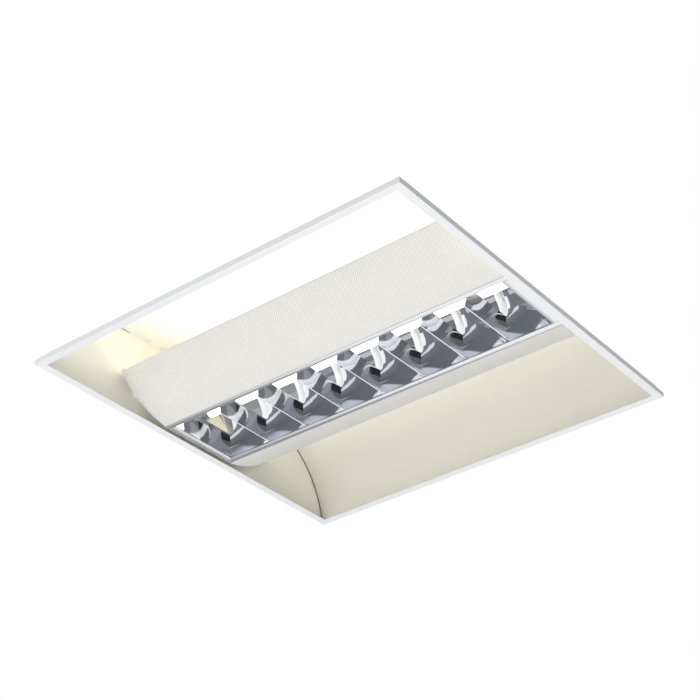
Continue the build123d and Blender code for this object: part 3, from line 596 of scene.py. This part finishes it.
# Hood: two arcs that meet in a low ridge over the lamp
hood_low, hood_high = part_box("lamp_hood")
hood_top = hood_high.z - mirror_sheet
hood_foot = (sqrt(hood_radius**2 - (hood_low.z - hood_top + hood_radius)**2), hood_low.z)
bulge_height = hood_top - hood_bulge
bulge_side = hood_foot[0] - sqrt(hood_bulge**2 - (hood_foot[1] - bulge_height)**2)
hood_ridge = (0, bulge_height + sqrt(hood_bulge**2 - bulge_side**2))
bulge_turn = angle_between((bulge_side, bulge_height), hood_foot, hood_ridge)
hood = bmesh.new()
hood_start = hood.verts.new((hood_low.x, *hood_foot))
hood_middle = turned(hood, hood_start, (0, bulge_side, bulge_height), (1, 0, 0), bulge_turn)
turned(hood, hood_middle, (0, -bulge_side, bulge_height), (1, 0, 0), bulge_turn)
drawn(hood, (hood_high.x - hood_low.x, 0, 0), (0, 0, -1))
thickened(hood, mirror_sheet)
mirror_piece("mirror_hood", hood, "housing", "lamp_hood")


# Perforated wings: holes in a flat sheet, which is then bent to its arc

wing_low, wing_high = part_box("wing_back")
wing_start = (side_high.y + wing_gap, wing_low.z)
wing_tip = (wing_high.y, wing_tip_height)
wing_centre = arc_centre(wing_start, wing_tip, wing_radius)
wing_turn = angle_between(wing_centre, wing_start, wing_tip)


def cut_off(shape, place, outward):
    """Cut a flat sheet at a line, and drop what lies beyond it."""
    everything = shape.verts[:] + shape.edges[:] + shape.faces[:]
    bmesh.ops.bisect_plane(shape, geom=everything, plane_co=place, plane_no=outward, clear_outer=True)


def widened(shape, place, outward, margin):
    """Add a plain margin along one straight side of a flat sheet."""
    line = Vector(place)
    side = [
        edge
        for edge in shape.edges
        if edge.is_boundary
        and all(abs((vert.co - line).dot(Vector(outward))) < same_line for vert in edge.verts)
    ]
    far = verts_of(bmesh.ops.extrude_edge_only(shape, edges=side)["geom"])
    bmesh.ops.translate(shape, verts=far, vec=Vector(outward) * margin)


def punched(shape):
    """Punch a round hole in every whole cell of a sheet's grid."""
    whole = [face for face in shape.faces if face.calc_area() > whole_cell * hole_pitch**2]
    web = hole_pitch / 2 - hole_radius
    bmesh.ops.inset_individual(shape, faces=whole, thickness=web, use_even_offset=True)
    for face in whole:
        centre = face.calc_center_median()
        for edge in face.edges[:]:
            bmesh.utils.edge_split(edge, edge.verts[0], 0.5)
        for vert in face.verts:
            vert.co = centre + hole_radius * (vert.co - centre).normalized()
    bmesh.ops.delete(shape, geom=whole, context="FACES_ONLY")


def perforated_wing():
    """The right half of the back wing."""
    half_length = wing_high.x - hole_margin
    half_width = wing_radius * wing_turn / 2 - hole_margin
    rows = ceil((half_length + half_width) * sqrt(2) / hole_pitch)
    shape = bmesh.new()
    bmesh.ops.create_grid(shape, x_segments=rows, y_segments=rows, size=rows * hole_pitch / 2)
    bmesh.ops.rotate(shape, verts=shape.verts, cent=(0, 0, 0), matrix=Matrix.Rotation(pi / 4, 3, "Z"))
    long_sides = (((0, half_width, 0), (0, 1, 0)), ((0, -half_width, 0), (0, -1, 0)))
    right_end = ((half_length, 0, 0), (1, 0, 0))
    left_end = ((-half_length, 0, 0), (-1, 0, 0))
    for place, outward in (*long_sides, right_end, left_end):
        cut_off(shape, place, outward)
    punched(shape)
    cut_off(shape, (0, 0, 0), (-1, 0, 0))
    for place, outward in (*long_sides, right_end):
        widened(shape, place, outward, hole_margin)
    start_angle = atan2(wing_start[1] - wing_centre[1], wing_start[0] - wing_centre[0])
    for vert in shape.verts:
        angle = start_angle + wing_turn / 2 + vert.co.y / wing_radius
        vert.co.y = wing_centre[0] + wing_radius * cos(angle)
        vert.co.z = wing_centre[1] + wing_radius * sin(angle)
    lip = [
        edge
        for edge in shape.edges
        if edge.is_boundary and all(vert.co.z < wing_start[1] + same_line for vert in edge.verts)
    ]
    lip_top = verts_of(bmesh.ops.extrude_edge_only(shape, edges=lip)["geom"])
    bmesh.ops.translate(shape, verts=lip_top, vec=(0, 0, wing_lip))
    turn_towards(shape, (0, 1, -1))
    thickened(shape, wing_sheet)
    return shape


wing_right = perforated_wing()
wing_finish = (wing_paint, wing_paint)
for end, wing in (("left", twin(wing_right, 0)), ("right", wing_right)):
    dressed(f"perforated_wing_front_{end}", twin(wing, 1), "basket", "white_paint", wing_finish, "wing_front")
    dressed(f"perforated_wing_back_{end}", wing, "basket", "white_paint", wing_finish, "wing_back")


# Joint lines where the curved reflectors meet the end plates, drawn as dark strips of painted shadow

def joint_line(width):
    """A thin strip of painted shadow along the back reflector's arc, against the right end plate."""
    outer = reflector_radius - joint_gap
    inner = outer - joint_depth
    right = reflector_high.x - joint_gap
    left = right - width
    start = asin((trim_sheet - reflector_centre[1]) / reflector_radius)
    centre = Vector((0, *reflector_centre))
    along = Vector((1, 0, 0))
    outward = Vector((0, cos(start), sin(start)))
    shape = bmesh.new()
    section = [
        shape.verts.new(centre + x * along + reach * outward)
        for x, reach in ((right, outer), (right, inner), (left, inner), (left, outer))
    ]
    loop = [shape.edges.new((section[i - 1], section[i])) for i in range(len(section))]
    bmesh.ops.spin(
        shape,
        geom=section + loop,
        cent=centre,
        axis=along,
        angle=pi / 2 - start,
        steps=joint_steps,
    )
    open_edges = [edge for edge in shape.edges if edge.is_boundary]
    bmesh.ops.holes_fill(shape, edges=open_edges, sides=len(section))
    bmesh.ops.recalc_face_normals(shape, faces=shape.faces[:])
    return shape


back_joint = joint_line(back_joint_width)
front_joint = twin(joint_line(front_joint_width), 1)
for side, shadow_strip in (("back", back_joint), ("front", front_joint)):
    dressed(f"joint_line_{side}_left", twin(shadow_strip, 0), "housing", "grommet_rubber", (joint_shadow,))
    dressed(f"joint_line_{side}_right", shadow_strip, "housing", "grommet_rubber", (joint_shadow,))


# Room: a far floor with its cards, and the white card round the trim

def ramp_along_x(tree, reach, values):
    """A value that runs from one to another along X."""
    place = tree.nodes.new("ShaderNodeSeparateXYZ")
    tree.links.new(object_point(tree), place.inputs["Vector"])
    ramp = tree.nodes.new("ShaderNodeMapRange")
    ramp.inputs["From Min"].default_value, ramp.inputs["From Max"].default_value = reach
    ramp.inputs["To Min"].default_value, ramp.inputs["To Max"].default_value = values
    tree.links.new(place.outputs["X"], ramp.inputs["Value"])
    return ramp.outputs["Result"]


def hidden_from(thing, *rays):
    """Hide a stage piece or a light from some kinds of rays."""
    for ray in rays:
        setattr(thing, f"visible_{ray}", False)


floor_shape = bmesh.new()
bmesh.ops.create_grid(floor_shape, x_segments=1, y_segments=1, size=floor_half)
bmesh.ops.translate(floor_shape, verts=floor_shape.verts, vec=(0, 0, -floor_drop))
room_floor = finished("room_floor", floor_shape)
floor_paint, floor_tree, floor_shader = new_material("floor_paint")
floor_shader.inputs["Base Color"].default_value = (*floor_pale, 1)
floor_shader.inputs["Roughness"].default_value = floor_rough
floor_shader.inputs["Specular IOR Level"].default_value = 0
floor_fade = ramp_along_x(floor_tree, (floor_left, floor_right), (floor_left_glow, floor_right_glow))
floor_glow = floor_tree.nodes.new("ShaderNodeEmission")
floor_glow.inputs["Color"].default_value = (*floor_glow_colour, 1)
floor_tree.links.new(floor_fade, floor_glow.inputs["Strength"])
floor_rays = floor_tree.nodes.new("ShaderNodeLightPath")
floor_mix = floor_tree.nodes.new("ShaderNodeMixShader")
floor_tree.links.new(floor_rays.outputs["Is Camera Ray"], floor_mix.inputs["Fac"])
floor_tree.links.new(floor_glow.outputs[0], floor_mix.inputs[1])
floor_tree.links.new(floor_shader.outputs[0], floor_mix.inputs[2])
floor_tree.links.new(floor_mix.outputs[0], floor_tree.nodes["Material Output"].inputs["Surface"])
room_floor.data.materials.append(floor_paint)


def floor_card(name, low_corner, high_corner, left_glow, right_glow):
    """A glowing card on the floor that only mirrors see."""
    half = (Vector(high_corner) - Vector(low_corner)) / 2
    middle = (Vector(high_corner) + Vector(low_corner)) / 2
    shape = bmesh.new()
    bmesh.ops.create_grid(shape, x_segments=1, y_segments=1, size=1)
    bmesh.ops.scale(shape, vec=(*half, 1), verts=shape.verts)
    bmesh.ops.translate(shape, vec=(*middle, floor_card_lift - floor_drop), verts=shape.verts)
    paper = finished(name, shape)
    material, tree, shader = new_material(name)
    tree.nodes.remove(shader)
    glow = tree.nodes.new("ShaderNodeEmission")
    if left_glow == right_glow:
        glow.inputs["Strength"].default_value = left_glow
    else:
        fade = ramp_along_x(tree, (low_corner[0], high_corner[0]), (left_glow, right_glow))
        tree.links.new(fade, glow.inputs["Strength"])
    tree.links.new(glow.outputs[0], tree.nodes["Material Output"].inputs["Surface"])
    paper.data.materials.append(material)
    hidden_from(paper, "camera", "diffuse", "transmission", "shadow")


for name, card in floor_cards.items():
    floor_card(name, *card)

# The ceiling card shines towards the room, and is clear from above
trim_half = cad_box[1].x
trim_top = high("trim_rail_back").z
ceiling_shape = bmesh.new()
bmesh.ops.create_grid(ceiling_shape, x_segments=1, y_segments=1, size=ceiling_half)
ceiling_border = ceiling_half - trim_half - ceiling_gap
bmesh.ops.inset_individual(
    ceiling_shape, faces=ceiling_shape.faces[:], thickness=ceiling_border, use_even_offset=True
)
opening = min(ceiling_shape.faces, key=lambda face: face.calc_center_median().length)
bmesh.ops.delete(ceiling_shape, geom=[opening], context="FACES")
bmesh.ops.translate(ceiling_shape, verts=ceiling_shape.verts, vec=(0, 0, trim_top + ceiling_gap))
ceiling_card = finished("ceiling_card", ceiling_shape)
ceiling_paint, ceiling_tree, ceiling_shader = new_material("ceiling_paint")
ceiling_tree.nodes.remove(ceiling_shader)
ceiling_glow = ceiling_tree.nodes.new("ShaderNodeEmission")
ceiling_clear = ceiling_tree.nodes.new("ShaderNodeBsdfTransparent")
ceiling_mix = ceiling_tree.nodes.new("ShaderNodeMixShader")
ceiling_side = ceiling_tree.nodes.new("ShaderNodeNewGeometry")
ceiling_tree.links.new(ceiling_side.outputs["Backfacing"], ceiling_mix.inputs["Fac"])
ceiling_tree.links.new(ceiling_clear.outputs[0], ceiling_mix.inputs[1])
ceiling_tree.links.new(ceiling_glow.outputs[0], ceiling_mix.inputs[2])
ceiling_tree.links.new(ceiling_mix.outputs[0], ceiling_tree.nodes["Material Output"].inputs["Surface"])
ceiling_card.data.materials.append(ceiling_paint)
hidden_from(ceiling_card, "diffuse", "glossy", "transmission", "shadow", "volume_scatter")

# World: white to the camera and through glass, and a softer light on everything else
world = bpy.data.worlds.new("studio")
scene.world = world
world.use_nodes = True
sky = world.node_tree
background = sky.nodes["Background"]
background.inputs["Color"].default_value = (1, 1, 1, 1)
rays = sky.nodes.new("ShaderNodeLightPath")
seen = sky.nodes.new("ShaderNodeMath")
seen.operation = "MAXIMUM"
strength = sky.nodes.new("ShaderNodeMapRange")
strength.inputs["To Min"].default_value = ambient
strength.inputs["To Max"].default_value = 1.0
sky.links.new(rays.outputs["Is Camera Ray"], seen.inputs[0])
sky.links.new(rays.outputs["Is Transmission Ray"], seen.inputs[1])
sky.links.new(seen.outputs[0], strength.inputs["Value"])
sky.links.new(strength.outputs["Result"], background.inputs["Strength"])


def soft_light(name, place, size, power):
    """A square light aimed at the object, unseen by the camera and in mirrors."""
    light = bpy.data.lights.new(name, "AREA")
    light.shape = "SQUARE"
    light.size = size
    light.energy = power
    lamp = bpy.data.objects.new(name, light)
    lamp.location = place
    lamp.rotation_mode = "QUATERNION"
    lamp.rotation_quaternion = (-Vector(place)).to_track_quat("-Z", "Y")
    hidden_from(lamp, "camera", "glossy")
    scene.collection.objects.link(lamp)


for name, light in soft_lights.items():
    soft_light(name, *light)

# Camera
back = Vector((
    sin(camera_azimuth) * cos(camera_elevation),
    -cos(camera_azimuth) * cos(camera_elevation),
    sin(camera_elevation),
))
level_right = Vector((0, 0, 1)).cross(back).normalized()
level_up = back.cross(level_right)
right = cos(camera_roll) * level_right + sin(camera_roll) * level_up
up = cos(camera_roll) * level_up - sin(camera_roll) * level_right
camera_data = bpy.data.cameras.new("camera")
camera_data.lens = camera_lens
camera_data.sensor_width = sensor_width
camera_data.clip_end = camera_sight
camera = bpy.data.objects.new("camera", camera_data)
camera_place = camera_distance * back - camera_slide[0] * right - camera_slide[1] * up
camera_turn = Matrix((right, up, back)).transposed().to_4x4()
camera.matrix_world = Matrix.Translation(camera_place) @ camera_turn
scene.collection.objects.link(camera)
scene.camera = camera

scene.view_settings.view_transform = "Standard"
